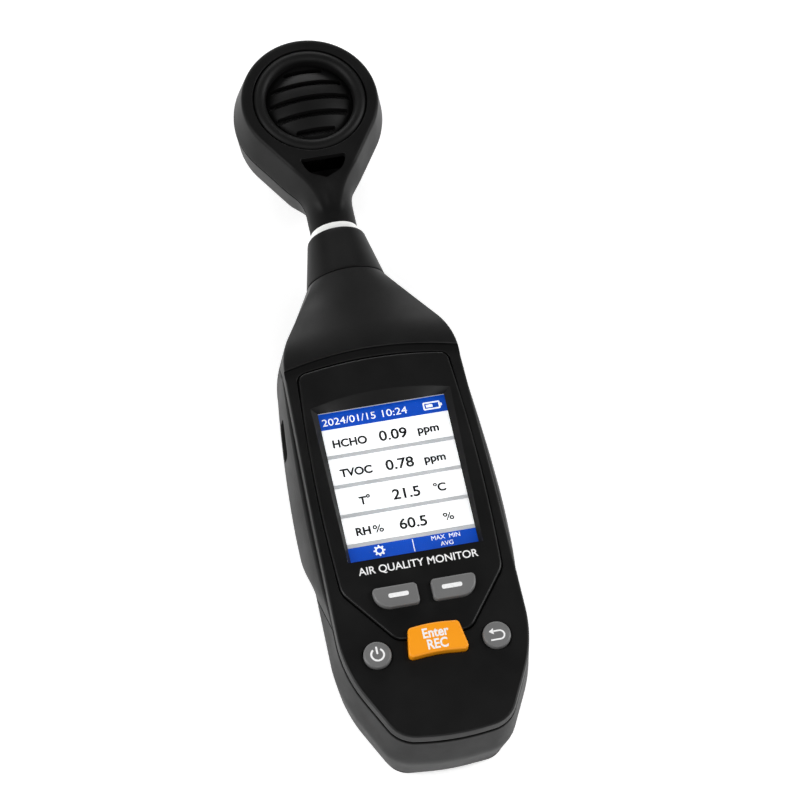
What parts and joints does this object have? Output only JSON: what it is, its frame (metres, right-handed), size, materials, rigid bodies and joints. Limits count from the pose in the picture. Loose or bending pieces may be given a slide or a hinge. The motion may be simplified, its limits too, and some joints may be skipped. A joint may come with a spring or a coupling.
{
  "type": "handheld air quality monitor",
  "caption": "Handheld air quality monitor with a colour display, front keys, a battery door and a round plug-in sensor head.",
  "frame": {"origin": "centre of the underside of the whole instrument as it lies on its back", "axes": "+Z out of the display, +Y towards the sensor head, +X to the right as the display is read"},
  "size_m": [0.0572, 0.216, 0.032],
  "materials": {
    "front_plastic": "fine-textured black moulded plastic",
    "rear_plastic": "fine-textured black moulded plastic",
    "grip_plastic": "soft-touch black plastic",
    "bezel_plastic": "satin black plastic",
    "lens": "clear polished window",
    "screen": "lit colour display",
    "white_plastic": "plain moulded",
    "circuit_board": "green solder mask",
    "silicone": "matte silicone",
    "key_grey": "satin grey plastic",
    "key_orange": "satin orange plastic",
    "battery_wrap": "shrink wrap",
    "contact_metal": "gold plated",
    "screw_steel": "dark zinc",
    "brass": "turned",
    "socket_steel": "stamped",
    "buzzer_plastic": "plain moulded",
    "socket_plastic": "plain moulded",
    "head_plastic": "satin black plastic",
    "ring_white": "satin white plastic",
    "tube_steel": "drawn tube",
    "grille_plastic": "satin black plastic",
    "dust_cloth": "fine black mesh",
    "sensor_plastic": "plain moulded",
    "sensor_can": "pressed can"
  },
  "bodies": {
    "meter": {"front_housing": "front_plastic", "rear_housing": "rear_plastic", "grip_left": "grip_plastic", "grip_right": "grip_plastic", "display_bezel": "bezel_plastic", "display_lens": "lens", "display_module": "screen", "display_frame": "white_plastic", "main_board": "circuit_board", "keypad_membrane": "silicone", "battery_pack": "battery_wrap", "battery_contacts": "contact_metal", "case_screws": "screw_steel", "tripod_insert": "brass", "usb_socket": "socket_steel", "buzzer": "buzzer_plastic", "body_socket": "socket_plastic"},
    "door": {"battery_door": "rear_plastic"},
    "sensor_module": {"sensor_plug": "socket_plastic", "collar": "head_plastic", "neck_ring": "ring_white", "neck_tube": "tube_steel", "head_front": "head_plastic", "head_rear": "head_plastic", "head_screws": "screw_steel", "sensor_grille": "grille_plastic", "dust_screen": "dust_cloth", "sensor_board": "circuit_board", "formaldehyde_sensor": "sensor_plastic", "voc_sensor": "sensor_can", "humidity_sensor": "sensor_plastic"},
    "left_softkey": {"softkey_left": "key_grey"},
    "right_softkey": {"softkey_right": "key_grey"},
    "enter_button": {"enter_key": "key_orange"},
    "power_button": {"power_key": "key_grey"},
    "back_button": {"back_key": "key_grey"}
  },
  "joints": [
    {"name": "sensor_pull", "type": "slide", "parent": "meter", "child": "sensor_module", "axis": [0, 1, 0], "range_m": [0, 0.022]},
    {"name": "door_slide", "type": "slide", "parent": "meter", "child": "door", "axis": [0, -1, 0], "range_m": [0, 0.068]},
    {"name": "left_softkey_press", "type": "slide", "parent": "meter", "child": "left_softkey", "axis": [0, 0, -1], "range_m": [0, 0.0008], "stiffness_N_per_m": 900},
    {"name": "right_softkey_press", "type": "slide", "parent": "meter", "child": "right_softkey", "axis": [0, 0, -1], "range_m": [0, 0.0008], "stiffness_N_per_m": 900},
    {"name": "enter_button_press", "type": "slide", "parent": "meter", "child": "enter_button", "axis": [0, 0, -1], "range_m": [0, 0.0008], "stiffness_N_per_m": 900},
    {"name": "power_button_press", "type": "slide", "parent": "meter", "child": "power_button", "axis": [0, 0, -1], "range_m": [0, 0.0008], "stiffness_N_per_m": 900},
    {"name": "back_button_press", "type": "slide", "parent": "meter", "child": "back_button", "axis": [0, 0, -1], "range_m": [0, 0.0008], "stiffness_N_per_m": 900}
  ]
}
